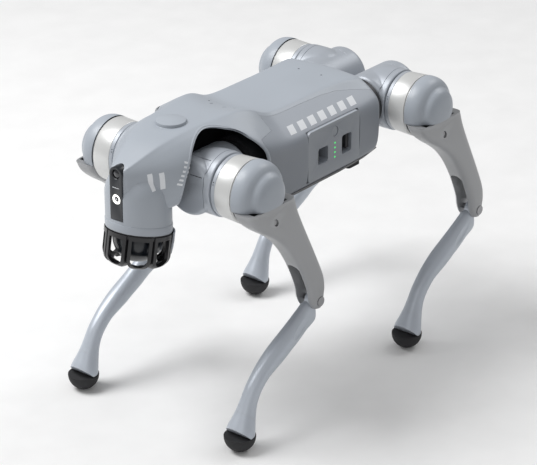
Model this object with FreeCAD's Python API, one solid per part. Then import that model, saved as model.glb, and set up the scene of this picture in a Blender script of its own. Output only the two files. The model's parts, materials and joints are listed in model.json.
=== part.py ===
import FreeCAD, Part
import math
import os

# Quadruped robot dog: a trunk, four three-joint legs, a battery that slides out of the left
# flank and a spinning scanner under the chin.
# Axes: +X forward, +Y left, +Z up.  Every piece is drawn about the trunk centre, which lies
# midway between the four hips at the height of the thigh axes, and is moved when written so
# that the origin is on the ground under the middle of the whole robot.  Millimetres.

# ---- driving dimensions -------------------------------------------------------------------
HIP_X = 193.4              # hip axes, forward and back of the trunk centre
ABDUCTION_Y = 46.5         # sideways swing axes, out from the centre line
LEG_Y = 142.0              # middle plane of thigh and calf
LINK = 213.0               # hip to knee, and knee to foot centre
FOOT_RADIUS = 22.0
THIGH_REST = 28.3          # thigh leans back from straight down
KNEE_REST = -74.9          # calf turns forward from the thigh's line
SWING_OUT = 48.0           # room is kept for a hip swung out this far
CENTRE_SHIFT_X = -11.41    # puts the middle of the robot's box on the origin

# trunk shells
WALL = 3.0
ARCH_RADIUS = 65.0         # round cut-outs that the hips swing in
ARCH_Z = 6.0
SHELL_REAR_X = -131.0
HEAD_SPLIT_X = 100.0       # head shell starts here
FLANK_END_X = 133.0
SEAM_Z = 46.0
RING_ROOM = 2.5            # kept free round a thigh ring that swings up beside the head
BELLY_Z = -52.0            # belly plate lies below this

# chassis
FRAME_Z0 = -51.5
FRAME_Z1 = 32.0
PLATE = 3.5

# motors
MOTOR_RADIUS = 40.0
MOTOR_X0 = 105.0
MOTOR_X1 = 147.0
SHAFT_RADIUS = 12.0
RUNNING_CLEARANCE = 0.05

# hip and thigh, distances out from the centre line
HIP_RADIUS = 45.0
HIP_END_Y = 85.0
THIGH_START_Y = 85.4
RING_END_Y = 120.0
BAY_RADIUS = 39.5
CAVITY_Y0 = 131.5
CAVITY_Y1 = 151.5
CAP_RADIUS = 45.2
DRUM_END_Y = 143.0         # inner drum, hidden under the cap
CAP_EDGE_Z = -14.0         # level lower edge of the cap, below the thigh axis
WINDOW_S = 144.0           # the thigh is open in front from here down to the knee
EAR_S = 181.0              # below this the thigh is two ears

# knee linkage
LEVER = 14.0
LEVER_ANGLE = 168.0        # lever points almost opposite the calf
LINK_PIN_RADIUS = 3.0
KNEE_PIN_RADIUS = 4.0
PIN_HEAD_RADIUS = 7.0
PIN_HEAD_Y = 157.8
ROD_Y0 = 134.5
ROD_Y1 = 138.5

# battery
BATTERY_X0 = -73.7
BATTERY_X1 = 42.7
BATTERY_Z0 = -46.7
BATTERY_Z1 = 27.2
BATTERY_Y0 = -84.0
BATTERY_FACE_Y = 98.5

# scanner and guard, under a chin whose lower edge drops to the rear
CHIN_X = 281.0
CHIN_RADIUS = 44.5
CHIN_TOP_Z = 5.0           # the chin is round up to here, then narrows into the head
CHIN_TAPER_Z = 36.0
CHIN_TAPER_RADIUS = 28.0
SCANNER_CENTRE = (283.5, -65.8)
SCANNER_TILT = 11.0
CHIN_EDGE = 13.0           # from the dome's centre up to the chin's lower edge
DOME_RADIUS = 34.0
SCANNER_RADIUS = 28.0      # fixed base above the dome
SPINDLE_RADIUS = 8.0
GUARD_RADIUS = 46.0
GUARD_WALL = 5.0
GUARD_DEPTH = 36.0         # from the dome's centre down to the lowest bars
PETALS = 8
PETAL_HALF_WIDTH = 16.0
BAR_WIDTH = 4.5

FAR = 400.0
V = FreeCAD.Vector
ORIGIN = V(0, 0, 0)
Y_AXIS = V(0, 1, 0)
GROUND_Z = -LINK * (math.cos(math.radians(THIGH_REST))
                    + math.cos(math.radians(THIGH_REST + KNEE_REST))) - FOOT_RADIUS


# ---- small helpers ------------------------------------------------------------------------
def box(x0, x1, y0, y1, z0, z1):
    return Part.makeBox(x1 - x0, y1 - y0, z1 - z0, V(x0, y0, z0))


def cylinder_x(radius, x0, x1, y=0.0, z=0.0):
    return Part.makeCylinder(radius, x1 - x0, V(x0, y, z), V(1, 0, 0))


def cylinder_y(radius, y0, y1, x=0.0, z=0.0):
    return Part.makeCylinder(radius, y1 - y0, V(x, y0, z), Y_AXIS)


def cylinder_z(radius, z0, z1, x=0.0, y=0.0):
    return Part.makeCylinder(radius, z1 - z0, V(x, y, z0), V(0, 0, 1))


def fuse(shapes):
    return shapes[0].multiFuse(shapes[1:]).removeSplitter() if len(shapes) > 1 else shapes[0]


def turned(shape, degrees):
    """The shape turned about the sideways axis through the origin; + swings a leg back."""
    copy = shape.copy()
    copy.rotate(ORIGIN, Y_AXIS, degrees)
    return copy


def moved(shape, x, y, z):
    copy = shape.copy()
    copy.translate(V(x, y, z))
    return copy


def other_side(shape):
    return shape.mirror(ORIGIN, Y_AXIS)


def back_to_front(shape):
    return shape.mirror(ORIGIN, V(1, 0, 0))


def closed_wire(points):
    return Part.makePolygon(list(points) + [points[0]])


def half_section(x, points, inset=0.0):
    """Whole trunk section at x from its left half, listed top centre to bottom centre."""
    left = []
    for y, z in points:
        inner_y = max(0.0, y - inset) if y > 0 else 0.0
        inner_z = z - inset if z > 0 else z + inset
        left.append((inner_y, inner_z))
    right = [(-y, z) for y, z in reversed(left[1:-1])]
    return closed_wire([V(x, y, z) for y, z in left + right])


def rounded_rectangle(s, n0, n1, y0, y1, radius):
    """Level section of a limb, s below the joint, n forward, with round corners."""
    corners = [(n1 - radius, y1 - radius, 0), (n0 + radius, y1 - radius, 90),
               (n0 + radius, y0 + radius, 180), (n1 - radius, y0 + radius, 270)]
    arcs = []
    for n, y, start in corners:
        points = []
        for angle in (start, start + 45, start + 90):
            turn = math.radians(angle)
            points.append(V(n + radius * math.cos(turn), y + radius * math.sin(turn), -s))
        arcs.append(points)
    edges = []
    for index, points in enumerate(arcs):
        edges.append(Part.Arc(*points).toShape())
        edges.append(Part.LineSegment(points[2], arcs[(index + 1) % 4][0]).toShape())
    return Part.Wire(edges)


def ellipse_wire(s, n, half_n, half_y):
    """Elliptic section of the calf, s below the knee, its centre n forward."""
    major, minor = max(half_n, half_y), min(half_n, half_y)
    ellipse = Part.Ellipse(V(n, LEG_Y, -s), major, minor)
    edge = ellipse.toShape()
    if half_y > half_n:
        edge.rotate(V(n, LEG_Y, -s), V(0, 0, 1), 90)
    return Part.Wire([edge])


def largest_solid(shape):
    return max(shape.Solids, key=lambda solid: solid.Volume)


# ---- trunk shells -------------------------------------------------------------------------
# Left half of each section as (y, z): top centre, plateau edge, seam, shoulder corner,
# side top, side bottom, belly edge, bottom centre.
TRUNK_SECTIONS = [
    (-131, [(0, 51), (66, 48), (86, 36), (95, 28), (99, 18), (98, -40), (84, -56), (0, -58)]),
    (-101, [(0, 55), (61, 53), (74, 41), (95, 30), (99, 20), (98, -46), (86, -59), (0, -60)]),
    (-43, [(0, 55), (53, 55), (60, 51), (94, 30), (99, 20), (98, -47), (88, -60), (0, -60)]),
    (68, [(0, 55), (53, 55), (58, 52), (94, 30), (99, 20), (98, -47), (88, -60), (0, -60)]),
    (87, [(0, 57), (53, 62), (59, 57), (94, 32), (99, 21), (98, -47), (88, -60), (0, -60)]),
    (110, [(0, 63), (50, 71), (58, 64), (95, 36), (100, 24), (98, -45), (86, -58), (0, -58)]),
    (133, [(0, 70), (47, 76), (56, 71), (93, 46), (100, 34), (98, -36), (84, -50), (0, -56)]),
    (150, [(0, 75), (43, 76), (52, 72), (80, 58), (92, 48), (90, -20), (70, -30), (0, -40)]),
    (190, [(0, 75.5), (36, 74.2), (43, 71.5), (52, 67), (58, 60), (62, 0), (50, -20), (0, -30)]),
    (225, [(0, 75), (34, 73.3), (44, 69), (57, 60), (66, 46), (69, 0), (55, -20), (0, -30)]),
    (257, [(0, 71), (30, 68), (42, 62), (56, 52), (65, 36), (66, 4), (46, -24), (0, -34)]),
    (288, [(0, 58), (20, 56), (27, 51), (34, 42), (38, 30), (39, -6), (36, -28), (0, -34)]),
    (323.5, [(0, 45), (11, 42), (12, 38), (12.5, 30), (13, 20), (13, -20), (12, -30), (0, -32)]),
]


def trunk_form(inset):
    sections = []
    for x, points in TRUNK_SECTIONS:
        shifted = max(SHELL_REAR_X + inset, min(x, TRUNK_SECTIONS[-1][0] - inset))
        sections.append(half_section(shifted, points, inset))
    body = Part.makeLoft(sections, True, True)
    column = cylinder_z(CHIN_RADIUS - inset, -90, CHIN_TOP_Z, CHIN_X)
    taper = Part.makeCone(CHIN_RADIUS - inset, CHIN_TAPER_RADIUS - inset,
                          CHIN_TAPER_Z - CHIN_TOP_Z - inset, V(CHIN_X, 0, CHIN_TOP_Z))
    above_edge = under_chin(box(-FAR, FAR, -FAR, FAR, CHIN_EDGE + inset, FAR))
    return body.fuse(column.fuse(taper).common(above_edge))


def arches():
    return [cylinder_y(ARCH_RADIUS, -FAR, FAR, side * HIP_X, ARCH_Z) for side in (1, -1)]


def motor_envelopes(extra=0.4):
    shapes = []
    for side in (1, -1):
        motor = cylinder_x(MOTOR_RADIUS + extra, MOTOR_X0, MOTOR_X1, side * ABDUCTION_Y)
        shapes.extend([motor, back_to_front(motor)])
    return shapes


def swing_reliefs():
    """Room that a front thigh ring needs when its hip has swung all the way out."""
    reliefs = []
    for angle in (SWING_OUT + 2, SWING_OUT - 12, SWING_OUT - 26):
        ring = cylinder_y(CAP_RADIUS + RING_ROOM, THIGH_START_Y, 175, HIP_X)
        ring.rotate(V(0, ABDUCTION_Y, 0), V(1, 0, 0), angle)
        reliefs.extend([ring, other_side(ring)])
    return reliefs


def trunk_skin():
    """All shells in one piece, before they are parted along their seams."""
    skin = trunk_form(0.0).cut(trunk_form(WALL))
    return skin.cut(Part.makeCompound(arches() + motor_envelopes())).cut(
        Part.makeCompound(swing_reliefs()))


def plan_prism(outline, z0, z1):
    """Upright block with a left-right symmetric outline, listed along the left side."""
    left = [V(x, y, z0) for x, y in outline]
    right = [V(x, -y, z0) for x, y in reversed(outline)]
    return Part.Face(closed_wire(left + right)).extrude(V(0, 0, z1 - z0))


def shells():
    skin = trunk_skin()
    back_zone = plan_prism([(HEAD_SPLIT_X, 58.5), (-33, 60), (-64, 63), (-90, 70),
                            (-124, 84), (-140, 91)], 30, 120)
    head_zone = fuse([box(HEAD_SPLIT_X, FLANK_END_X, -FAR, FAR, SEAM_Z, FAR),
                      box(FLANK_END_X, FAR, -FAR, FAR, -FAR, FAR)])
    belly_zone = box(-FAR, FLANK_END_X, -FAR, FAR, -FAR, BELLY_Z)
    back = skin.common(back_zone)
    head = largest_solid(skin.common(head_zone))
    belly = skin.common(belly_zone)
    sides = skin.cut(Part.makeCompound([back_zone, head_zone, belly_zone]))
    left = sides.common(box(-FAR, FAR, 0, FAR, -FAR, FAR))
    right = sides.common(box(-FAR, FAR, -FAR, 0, -FAR, FAR))
    return {"back_shell": back, "head_shell": head, "belly_plate": belly,
            "left_flank": left, "right_flank": right}


def slot_prism(x0, x1, half_width, z0, z1):
    """Upright strip with round ends, facing forward."""
    middle = box(x0, x1, -half_width, half_width, z0 + half_width, z1 - half_width)
    ends = [cylinder_x(half_width, x0, x1, 0, z) for z in (z0 + half_width, z1 - half_width)]
    return fuse([middle] + ends)


WINDOW = (317.6, 324.6, 11.5, -29.0, 47.0)
LENS_Z = 36.0
LAMP_Z = 1.0


def camera_pieces():
    x0, x1 = WINDOW[:2]
    lens_bore = cylinder_x(7.0, x0 - 1, x1 + 1, 0, LENS_Z)
    lamp_bore = cylinder_x(8.0, x0 + 2.5, x1 + 1, 0, LAMP_Z)
    window = slot_prism(*WINDOW).cut(lens_bore).cut(lamp_bore)
    lens = cylinder_x(7.0, x0 - 6, x1 - 0.6, 0, LENS_Z)
    lamp = cylinder_x(8.0, x0 + 2.5, x1, 0, LAMP_Z).cut(
        cylinder_x(4.5, x1 - 2.0, x1 + 1, 0, LAMP_Z))
    return {"camera_window": window, "camera_lens": Part.makeCompound([lens, lamp])}


PUCK_X = 213.0
PAYLOAD_HOLES = [(108.0, 22.0), (-88.0, 20.0)]


def payload_bores():
    holes = []
    for x, y in PAYLOAD_HOLES:
        for side in (1, -1):
            holes.append(cylinder_z(1.6, 40, 90, x, side * y))
    return holes


def trunk_frame():
    """Aluminium chassis: bulkheads that hold the swing motors, battery tunnel and neck spine."""
    floor = box(-MOTOR_X0, MOTOR_X0, -90, 88, FRAME_Z0, FRAME_Z0 + PLATE)
    roof = box(-MOTOR_X0, MOTOR_X0, -90, 90, FRAME_Z1 - PLATE, FRAME_Z1)
    stop = box(-MOTOR_X0, MOTOR_X0, -90, -85, FRAME_Z0, FRAME_Z1)
    bulkhead = box(MOTOR_X0 - 5, MOTOR_X0, -90, 90, FRAME_Z0, FRAME_Z1)
    spine = box(MOTOR_X0, 262, -5, 5, -34, 60)
    relief = cylinder_y(22, -10, 10, 230, -28)
    bracket = box(257.5, 262, -28, 28, -46, 36)
    cradle = under_chin(cylinder_z(30, CHIN_EDGE + WALL, CHIN_EDGE + WALL + 6))
    tail = box(-150, -MOTOR_X0, -5, 5, -34, 34)
    top_posts = [box(x - 5, x + 5, y - 5, y + 5, 30, 51)
                 for x in (-80, 80) for y in (-40, 40)]
    frame = fuse([floor, roof, stop, bulkhead, back_to_front(bulkhead),
                  spine.cut(relief), bracket, cradle, tail] + top_posts)
    for x in (-75, -15, 45):
        frame = frame.cut(cylinder_z(12, -60, -40, x, 60))
    return frame


def abduction_motors():
    """Four motors lying fore and aft; each output bore takes its hip's stub shaft."""
    motors = []
    for side in (1, -1):
        y = side * ABDUCTION_Y
        motor = fuse([cylinder_x(MOTOR_RADIUS, MOTOR_X0, MOTOR_X1 - 6, y),
                      cylinder_x(MOTOR_RADIUS - 3, MOTOR_X1 - 6, MOTOR_X1, y)])
        motor = motor.cut(cylinder_x(SHAFT_RADIUS + RUNNING_CLEARANCE,
                                     MOTOR_X1 - 8, MOTOR_X1 + 1, y))
        motors.extend([motor, back_to_front(motor)])
    return Part.makeCompound(motors)


def control_board():
    board = box(-70, 70, -45, 45, 34, 36)
    sink = fuse([box(-40, 40, -30, 30, 36, 40)]
                + [box(-40, 40, y, y + 3, 40, 48) for y in range(-30, 30, 9)])
    return board.fuse(sink)


def belly_pads():
    pads = []
    for x in (100, -100):
        for y in (64, -64):
            foot = box(x - 14, x + 14, y - 8, y + 8, -75, -60)
            pads.append(foot.makeFillet(5, [edge for edge in foot.Edges
                                            if abs(edge.BoundBox.ZLength) > 10]))
    return pads


SCREW_PLACES = [(x, y) for x in (-85, 0, 85) for y in (-50, 50)]


def shell_screws():
    """Flat-headed screws that hold the belly plate to the chassis."""
    screws = []
    for x, y in SCREW_PLACES:
        screws.append(cylinder_z(3.0, -60.5, -58.0, x, y).fuse(cylinder_z(1.4, -58.0, -51.5, x, y)))
    return screws


def head_puck():
    """Low round antenna cover on top of the head."""
    return fuse([cylinder_z(22, 70, 75.2, PUCK_X), cylinder_z(20.5, 75.2, 78, PUCK_X)])


# ---- scanner under the chin ---------------------------------------------------------------
def under_chin(shape):
    """From the scanner's own frame, axis down, to its tilted place under the head."""
    x, z = SCANNER_CENTRE
    return moved(turned(shape, -SCANNER_TILT), x, 0, z)


def scanner_pieces():
    """Fixed base with a bore, and the turning head whose spindle runs in it."""
    body = cylinder_z(SCANNER_RADIUS, 2, CHIN_EDGE)
    body = body.cut(cylinder_z(SPINDLE_RADIUS + RUNNING_CLEARANCE, 1, 6))
    dome = Part.makeSphere(DOME_RADIUS).common(box(-60, 60, -60, 60, -60, 1.5))
    dome = dome.fuse(cylinder_z(SPINDLE_RADIUS, 1.0, 5.5))
    return {"scanner_body": under_chin(body), "scanner_dome": under_chin(dome)}


def petal_prism(half_width, top, bottom):
    """Upright tongue with a round lower end, reaching out from the scanner's axis."""
    centre = bottom + half_width
    return box(10, 60, -half_width, half_width, centre, top).fuse(
        cylinder_x(half_width, 10, 60, 0, centre))


def scanner_guard():
    """Cage of U-shaped petals hanging from a ring round the scanner."""
    inner = GUARD_RADIUS - GUARD_WALL
    ring = cylinder_z(CHIN_RADIUS - 0.3, 6, CHIN_EDGE).cut(cylinder_z(inner, 5, CHIN_EDGE + 1))
    bowl = cylinder_z(GUARD_RADIUS, -GUARD_DEPTH, CHIN_EDGE - 2)
    bowl = bowl.makeFillet(16, [edge for edge in bowl.Edges
                                if edge.BoundBox.ZMax < 1 - GUARD_DEPTH])
    hollow = cylinder_z(inner, GUARD_WALL - GUARD_DEPTH, CHIN_EDGE)
    hollow = hollow.makeFillet(12, [edge for edge in hollow.Edges
                                    if edge.BoundBox.ZMax < GUARD_WALL + 1 - GUARD_DEPTH])
    wall = bowl.cut(hollow).cut(cylinder_z(GUARD_RADIUS - 17, -60, 0))
    petals = []
    for index in range(PETALS):
        outline = petal_prism(PETAL_HALF_WIDTH, CHIN_EDGE, -GUARD_DEPTH - 0.5)
        gap = petal_prism(PETAL_HALF_WIDTH - BAR_WIDTH, 5, BAR_WIDTH - GUARD_DEPTH - 0.5)
        loop = outline.cut(gap)
        loop.rotate(ORIGIN, V(0, 0, 1), index * 360.0 / PETALS)
        petals.append(wall.common(loop))
    return under_chin(fuse([ring] + petals))


# ---- battery ------------------------------------------------------------------------------
POCKET_FRONT = (-1.5, 21.0, -27.0, -3.0)
POCKET_REAR = (-55.0, -33.0, -28.0, 0.0)
POCKET_FLOOR_Y = 80.0
BUTTON = (-17.0, 12.0, 7.0)


def battery_case():
    case = box(BATTERY_X0, BATTERY_X1, BATTERY_Y0, BATTERY_FACE_Y, BATTERY_Z0, BATTERY_Z1)
    case = case.makeFillet(6, [edge for edge in case.Edges if edge.BoundBox.YLength > 50])
    for x0, x1, z0, z1 in (POCKET_FRONT, POCKET_REAR):
        pocket = box(x0, x1, POCKET_FLOOR_Y, FAR, z0, z1)
        case = case.cut(pocket.makeFillet(4, [edge for edge in pocket.Edges
                                              if edge.BoundBox.YLength > 50]))
    x, z, radius = BUTTON
    return case.cut(cylinder_y(radius + 0.4, 90, 120, x, z))


def battery_small_pieces():
    front = box(13.5, 20.0, POCKET_FLOOR_Y + 0.3, 94, -23, -7)
    rear = box(-54.0, -47.5, POCKET_FLOOR_Y + 0.3, 94, -24, -4)
    x, z, radius = BUTTON
    button = cylinder_y(radius, 92, 97.5, x, z)
    return {"battery_latch_front": front, "battery_latch_rear": rear, "power_button": button}


# ---- legs: drawn for the left side with the thigh straight down ---------------------------
THIGH_SECTIONS = [          # s below the hip, back n, front n, inner y, outer y
    (-40, -44, 45, 120.0, 156.5),
    (12, -45, 46, 120.0, 156.5),
    (32, -37.5, 37, 121.0, 158.0),
    (60, -31.5, 22, 123.0, 159.5),
    (100, -30, 9.5, 125.0, 160.0),
    (140, -29, 6.5, 125.0, 160.0),
    (182, -27.5, 8.5, 125.0, 160.0),
    (204, -21, 14, 125.5, 159.5),
    (217, -11, 13, 126.5, 158.5),
    (224, -4.5, 6.5, 128.0, 157.0),
]
CALF_SECTIONS = [           # s below the knee, centre n, half depth, half width
    (7, -3, 11, 9.2),
    (20, -8, 19, 9.4),
    (40, -2, 17.4, 10.6),
    (60, 3.5, 16.4, 12.2),
    (97, 15, 15.0, 13.0),
    (130, 23, 11.8, 11.8),
    (153, 22.5, 12.0, 11.5),
    (175, 16, 14.0, 12.5),
    (190, 8, 17.5, 15.5),
    (203, 3, 20.0, 19.0),
]


def lever_offset(angle):
    """Where a lever pin sits from its pivot when the calf has turned by angle."""
    turn = math.radians(LEVER_ANGLE - angle)
    return LEVER * math.sin(turn), -LEVER * math.cos(turn)


def hip_housing():
    """Swinging housing: a round boss on the swing axis and the thigh motor's drum."""
    boss = cylinder_x(MOTOR_RADIUS, -44.0, 44.0, ABDUCTION_Y).common(
        box(-FAR, FAR, -FAR, HIP_END_Y, -FAR, FAR))
    drum = cylinder_y(HIP_RADIUS, ABDUCTION_Y, HIP_END_Y)
    drum = drum.makeFillet(3, [edge for edge in drum.Edges if edge.BoundBox.YMax < 60])
    stub = cylinder_x(SHAFT_RADIUS, MOTOR_X1 - 6 - HIP_X, -40, ABDUCTION_Y)
    housing = fuse([boss, drum, stub])
    bay = cylinder_y(BAY_RADIUS - 1, ABDUCTION_Y - 4, HIP_END_Y - 3)
    shaft_bore = cylinder_y(SHAFT_RADIUS + RUNNING_CLEARANCE, HIP_END_Y - 4, HIP_END_Y + 1)
    return housing.cut(bay).cut(shaft_bore)


def hip_motor():
    body = cylinder_y(BAY_RADIUS - 1.3, ABDUCTION_Y - 3.7, HIP_END_Y - 5.5)
    return body.cut(cylinder_y(9, HIP_END_Y - 12, HIP_END_Y))


def above_cap_edge():
    """Everything above the cap's level lower edge, in the straight-down leg's own frame."""
    return turned(box(-FAR, FAR, -FAR, FAR, CAP_EDGE_Z, FAR), -THIGH_REST)


def thigh_body():
    sections = [rounded_rectangle(*row, 8.0) for row in THIGH_SECTIONS[:-1]]
    sections.append(rounded_rectangle(*THIGH_SECTIONS[-1], 5.0))
    return Part.makeLoft(sections, True, True)


def thigh_frame():
    ring = Part.makeCone(42.8, 44.7, RING_END_Y - THIGH_START_Y, V(0, THIGH_START_Y, 0), Y_AXIS)
    drum = cylinder_y(41.2, RING_END_Y - 1, DRUM_END_Y)
    stub = cylinder_y(SHAFT_RADIUS, HIP_END_Y - 4, THIGH_START_Y + 1)
    frame = fuse([ring, drum, thigh_body().cut(above_cap_edge()), stub])
    motor_bay = cylinder_y(BAY_RADIUS, THIGH_START_Y + 3, CAVITY_Y0)
    crank_bay = cylinder_y(BAY_RADIUS - 2, CAVITY_Y0 - 2, CAVITY_Y1 + 5)
    inset = 4.0
    channel = [rounded_rectangle(s, n0 + inset, max(n1 - inset, n0 + 2 * inset + 6),
                                 CAVITY_Y0, CAVITY_Y1, 2.0)
               for s, n0, n1, _, _ in THIGH_SECTIONS[1:7]]
    channel_solid = Part.makeLoft(channel, True, True)
    window = box(-4, 80, CAVITY_Y0, CAVITY_Y1, -FAR, -WINDOW_S)
    knee_slot = box(-80, 80, CAVITY_Y0, CAVITY_Y1, -FAR, -EAR_S)
    pin_hole = cylinder_y(KNEE_PIN_RADIUS + 0.02, 100, 200, 0, -LINK)
    pin_seat = cylinder_y(PIN_HEAD_RADIUS + 0.05, PIN_HEAD_Y, 200, 0, -LINK)
    for hollow in (motor_bay, crank_bay, channel_solid, window, knee_slot, pin_hole, pin_seat):
        frame = frame.cut(hollow)
    return largest_solid(frame)


def thigh_cap():
    """Domed cap over the calf motor's end of the thigh."""
    def dome(radius, end, blend):
        solid = cylinder_y(radius, RING_END_Y + 0.3, end)
        return solid.makeFillet(blend, [edge for edge in solid.Edges
                                        if edge.BoundBox.YMin > end - 1])
    outer = dome(CAP_RADIUS, 158.5, 15.0).fuse(dome(28.0, 160.0, 3.0))
    shell = outer.cut(dome(CAP_RADIUS - 3.4, 155.5, 12.0))
    return largest_solid(shell.common(above_cap_edge()))


def calf_motor():
    rotor = cylinder_y(BAY_RADIUS - 0.3, THIGH_START_Y + 3, 124)
    return rotor.fuse(cylinder_y(30, 124, 129.5))


def knee_pin():
    shank = cylinder_y(KNEE_PIN_RADIUS, 128.5, PIN_HEAD_Y, 0, -LINK)
    return shank.fuse(cylinder_y(PIN_HEAD_RADIUS, PIN_HEAD_Y, PIN_HEAD_Y + 2.4, 0, -LINK))


def knee_crank():
    """Motor arm at the hip, drawn for the rest angle of the knee."""
    x, z = lever_offset(KNEE_REST)
    disc = cylinder_y(21, 130.0, 133.9)
    return disc.fuse(cylinder_y(LINK_PIN_RADIUS, 133.9, 139.4, x, z))


def knee_rod():
    """Push rod from the crank to the lever on the calf."""
    x, z = lever_offset(KNEE_REST)
    bar = box(x - 2.75, x + 2.75, ROD_Y0, ROD_Y1, z - LINK, z)
    rod = fuse([bar, cylinder_y(5.4, ROD_Y0, ROD_Y1, x, z),
                cylinder_y(5.0, ROD_Y0, ROD_Y1, x, z - LINK)])
    for height in (z, z - LINK):
        rod = rod.cut(cylinder_y(LINK_PIN_RADIUS + RUNNING_CLEARANCE, 100, 200, x, height))
    return rod


def foot_cut():
    """Space below the level top edge of the rubber foot, in the calf's own frame."""
    block = box(-FAR, FAR, -FAR, FAR, -FAR, 2.0)
    return moved(turned(block, -(THIGH_REST + KNEE_REST)), 0, 0, -LINK)


def calf_link():
    sections = [ellipse_wire(*row) for row in CALF_SECTIONS]
    shaft = Part.makeLoft(sections, True, False)
    ankle = Part.makeSphere(20.8, V(0, LEG_Y, -LINK))
    knuckle = cylinder_y(12.0, 140.2, 151.0)
    x, z = lever_offset(0.0)
    lever = fuse([cylinder_y(5.2, 139.4, 145.0, x, z),
                  box(x - 5.2, x + 5.2, 139.4, 145.0, 0, z)])
    pin = cylinder_y(LINK_PIN_RADIUS, 133.9, 140.0, x, z)
    rod_room = box(-60, 60, 120, 139.4, -14, 60)
    calf = fuse([shaft.cut(rod_room), ankle]).cut(foot_cut())
    calf = fuse([calf, knuckle, lever, pin])
    return calf.cut(cylinder_y(KNEE_PIN_RADIUS + RUNNING_CLEARANCE, 100, 200))


def foot():
    return Part.makeSphere(FOOT_RADIUS, V(0, LEG_Y, -LINK)).common(foot_cut())


def leg(front, left):
    """All pieces of one leg, standing at rest in the trunk frame."""
    knee = turned(Part.Vertex(0, 0, -LINK), THIGH_REST).Point
    thigh_pieces = {"thigh_frame": thigh_frame(), "thigh_cap": thigh_cap(),
                    "calf_motor": calf_motor(), "knee_pin": knee_pin(),
                    "knee_crank": knee_crank(), "knee_rod": knee_rod()}
    calf_pieces = {"calf_link": calf_link(), "foot": foot()}
    pieces = {"hip_housing": hip_housing(), "hip_motor": hip_motor()}
    if not front:
        pieces = {name: back_to_front(shape) for name, shape in pieces.items()}
    for name, shape in thigh_pieces.items():
        pieces[name] = turned(shape, THIGH_REST)
    for name, shape in calf_pieces.items():
        pieces[name] = moved(turned(shape, THIGH_REST + KNEE_REST), knee.x, 0, knee.z)
    hip_x = HIP_X if front else -HIP_X
    placed = {}
    for name, shape in pieces.items():
        shape = moved(shape, hip_x, 0, 0)
        placed[name] = shape if left else other_side(shape)
    return placed


BESIDE_FRAME = ["back_shell", "head_shell", "left_flank", "right_flank", "belly_plate",
                "scanner_body", "camera_lens", "control_board", "shell_screws"]


# ---- whole robot --------------------------------------------------------------------------
def robot():
    pieces = shells()
    pieces["back_shell"] = pieces["back_shell"].cut(Part.makeCompound(payload_bores()))
    battery_opening = box(BATTERY_X0 - 0.6, BATTERY_X1 + 0.6, 0, FAR,
                          BATTERY_Z0 - 0.6, BATTERY_Z1 + 0.6)
    pieces["left_flank"] = pieces["left_flank"].cut(battery_opening)
    puck = head_puck()
    camera = camera_pieces()
    pieces["head_shell"] = pieces["head_shell"].cut(Part.makeCompound(
        payload_bores() + [slot_prism(*WINDOW), puck])).cut(camera["camera_lens"])
    pieces["head_puck"] = puck
    screws = Part.makeCompound(shell_screws())
    pads = Part.makeCompound(belly_pads())
    pieces["belly_plate"] = pieces["belly_plate"].cut(screws).cut(pads)
    pieces["shell_screws"] = screws
    pieces["belly_pads"] = pads
    pieces["abduction_motors"] = abduction_motors()
    pieces["control_board"] = control_board()
    pieces.update(camera)
    pieces.update(scanner_pieces())
    chin_and_window = Part.makeCompound([trunk_form(0.0), slot_prism(*WINDOW)])
    pieces["scanner_guard"] = largest_solid(scanner_guard().cut(chin_and_window))
    beside_frame = [shape for name, shape in pieces.items() if name in BESIDE_FRAME]
    pieces["trunk_frame"] = largest_solid(trunk_frame().cut(Part.makeCompound(beside_frame)))
    pieces["battery_case"] = battery_case()
    pieces.update(battery_small_pieces())
    for front, end_name in ((True, "front"), (False, "rear")):
        for left, side_name in ((True, "left"), (False, "right")):
            for name, shape in leg(front, left).items():
                pieces[f"{end_name}_{side_name}_{name}"] = shape
    return pieces


os.makedirs("parts", exist_ok=True)
for node, form in robot().items():
    moved(form, CENTRE_SHIFT_X, 0, -GROUND_Z).exportStep(f"parts/{node}.step")
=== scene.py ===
import json
import math

import bmesh
import bpy
from mathutils import Matrix, Vector
from mathutils.bvhtree import BVHTree

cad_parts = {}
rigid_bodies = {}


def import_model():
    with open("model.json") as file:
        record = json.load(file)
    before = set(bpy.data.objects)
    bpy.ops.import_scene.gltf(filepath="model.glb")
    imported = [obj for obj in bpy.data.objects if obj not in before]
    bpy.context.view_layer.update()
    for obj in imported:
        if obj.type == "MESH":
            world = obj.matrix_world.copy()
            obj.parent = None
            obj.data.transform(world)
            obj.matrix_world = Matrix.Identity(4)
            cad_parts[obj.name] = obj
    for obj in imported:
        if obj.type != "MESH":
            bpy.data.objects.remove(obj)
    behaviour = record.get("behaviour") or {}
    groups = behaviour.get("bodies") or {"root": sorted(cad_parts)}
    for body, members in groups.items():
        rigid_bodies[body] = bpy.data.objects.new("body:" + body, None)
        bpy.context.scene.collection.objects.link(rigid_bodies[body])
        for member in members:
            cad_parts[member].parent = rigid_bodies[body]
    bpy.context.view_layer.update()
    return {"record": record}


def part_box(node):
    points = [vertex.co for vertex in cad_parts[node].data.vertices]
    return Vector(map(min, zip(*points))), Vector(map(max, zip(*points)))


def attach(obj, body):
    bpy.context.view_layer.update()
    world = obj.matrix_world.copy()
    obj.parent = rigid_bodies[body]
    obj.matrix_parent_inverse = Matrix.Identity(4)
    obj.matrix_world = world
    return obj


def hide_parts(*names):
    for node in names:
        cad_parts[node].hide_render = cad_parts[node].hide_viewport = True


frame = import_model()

# Meshes are drawn in millimetres about the trunk centre (midway between the hips, at the height
# of the thigh axes) or, for the legs, about the hip with the thigh straight down.  place() then
# puts them in the frame.  Sizes that the frame knows are read from it.
JOINTS = {joint["name"]: joint for joint in frame["record"]["behaviour"]["joints"]}


def joint_place(name):
    return Vector(JOINTS[name]["pos_m"]) * 1000.0


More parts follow.
